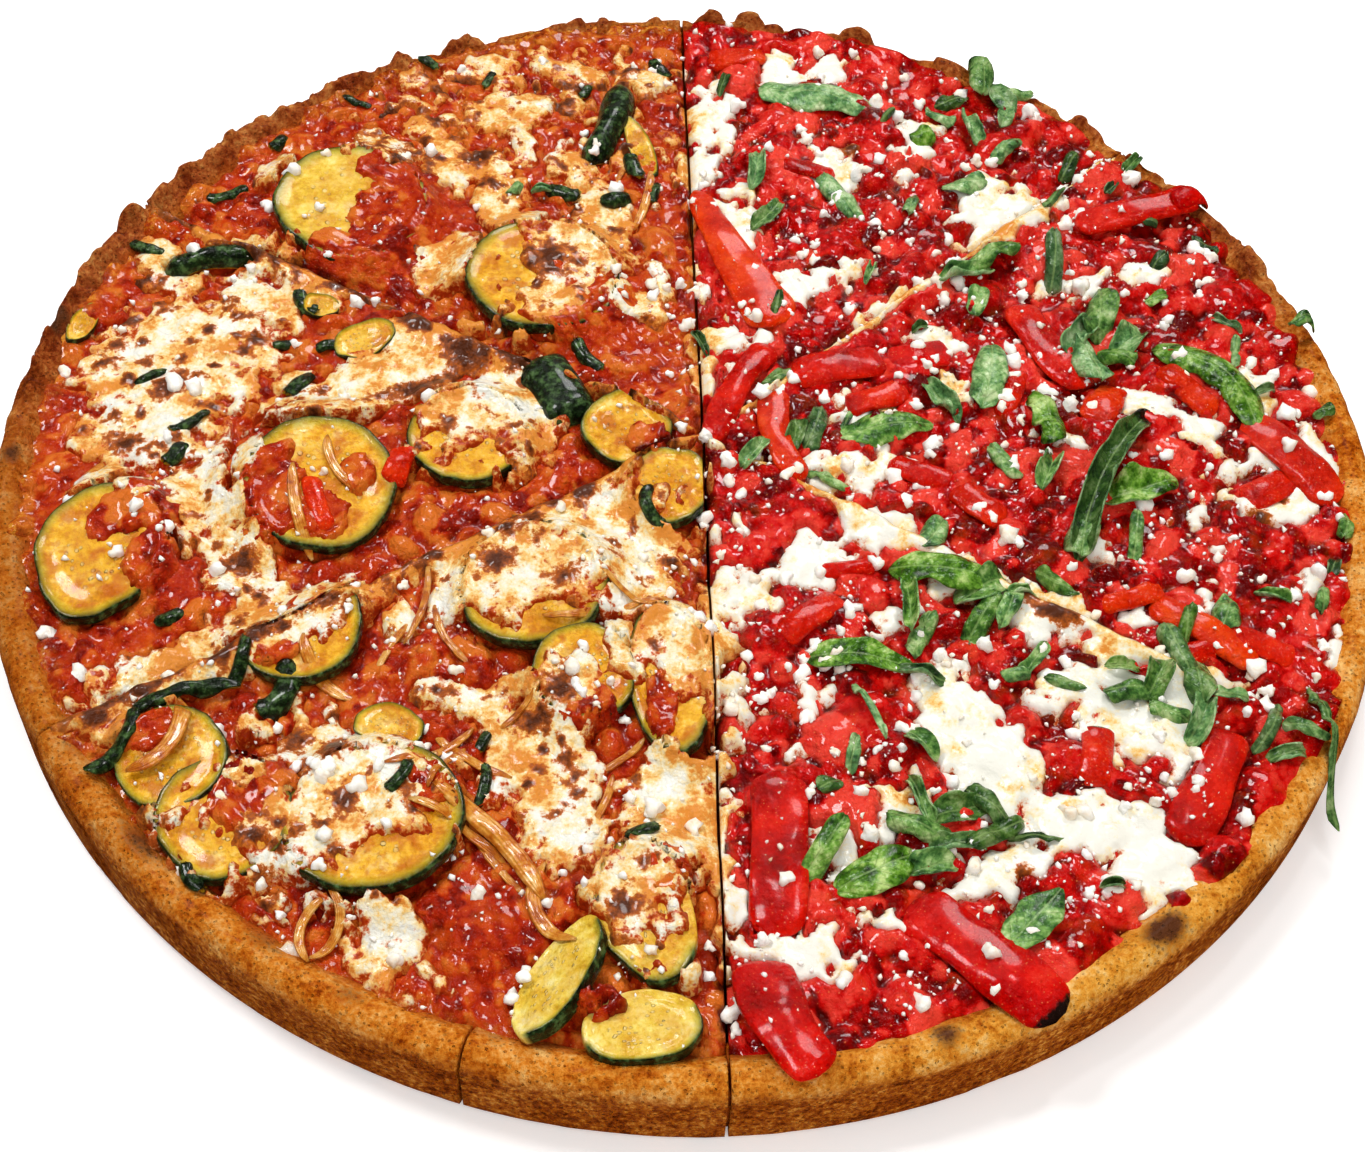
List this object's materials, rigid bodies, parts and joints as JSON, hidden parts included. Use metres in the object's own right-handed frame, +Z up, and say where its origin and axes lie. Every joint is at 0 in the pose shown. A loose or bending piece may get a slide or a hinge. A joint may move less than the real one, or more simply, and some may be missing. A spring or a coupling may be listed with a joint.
{
  "type": "deep dish pizza",
  "caption": "Round deep dish pizza, cut in slices, half with courgette and browned cheese, half with tomato, red pepper and basil.",
  "frame": {"origin": "under the middle of the pizza, on the flat base", "axes": "+Z up out of the toppings; +X towards the middle of the tomato half, +Y towards the narrow slice of that half"},
  "size_m": [0.356, 0.356, 0.0295],
  "materials": {
    "crust": "baked dough, golden brown, dry and porous",
    "sauce": "wet crushed tomato",
    "cheese": "melted cheese, cream with browned spots",
    "zucchini": "roasted courgette, moist yellow flesh and dark green skin",
    "red_pepper": "roasted red pepper, wet and shining",
    "basil": "fresh leaf, satin",
    "onion": "soft fried onion, clear amber"
  },
  "bodies": {
    "root": {"basil_01": "basil", "basil_02": "basil", "basil_03": "basil", "basil_04": "basil", "basil_05": "basil", "basil_06": "basil", "basil_07": "basil", "basil_08": "basil", "basil_09": "basil", "cheese_1": "cheese", "cheese_2": "cheese", "cheese_3": "cheese", "cheese_4": "cheese", "cheese_5": "cheese", "cheese_6": "cheese", "crust_1": "crust", "crust_2": "crust", "crust_3": "crust", "crust_4": "crust", "crust_5": "crust", "crust_6": "crust", "onion_01": "onion", "red_pepper_01": "red_pepper", "red_pepper_02": "red_pepper", "red_pepper_03": "red_pepper", "red_pepper_04": "red_pepper", "red_pepper_05": "red_pepper", "red_pepper_06": "red_pepper", "red_pepper_07": "red_pepper", "red_pepper_08": "red_pepper", "red_pepper_09": "red_pepper", "red_pepper_10": "red_pepper", "red_pepper_11": "red_pepper", "sauce_1": "sauce", "sauce_2": "sauce", "sauce_3": "sauce", "sauce_4": "sauce", "sauce_5": "sauce", "sauce_6": "sauce", "zucchini_01": "zucchini", "zucchini_02": "zucchini", "zucchini_03": "zucchini", "zucchini_04": "zucchini", "zucchini_05": "zucchini", "zucchini_06": "zucchini", "zucchini_07": "zucchini", "zucchini_08": "zucchini", "zucchini_09": "zucchini", "zucchini_10": "zucchini", "zucchini_11": "zucchini", "zucchini_12": "zucchini", "zucchini_13": "zucchini", "zucchini_14": "zucchini", "zucchini_15": "zucchini", "zucchini_16": "zucchini", "zucchini_17": "zucchini", "zucchini_18": "zucchini", "zucchini_19": "zucchini", "zucchini_20": "zucchini"}
  },
  "joints": []
}
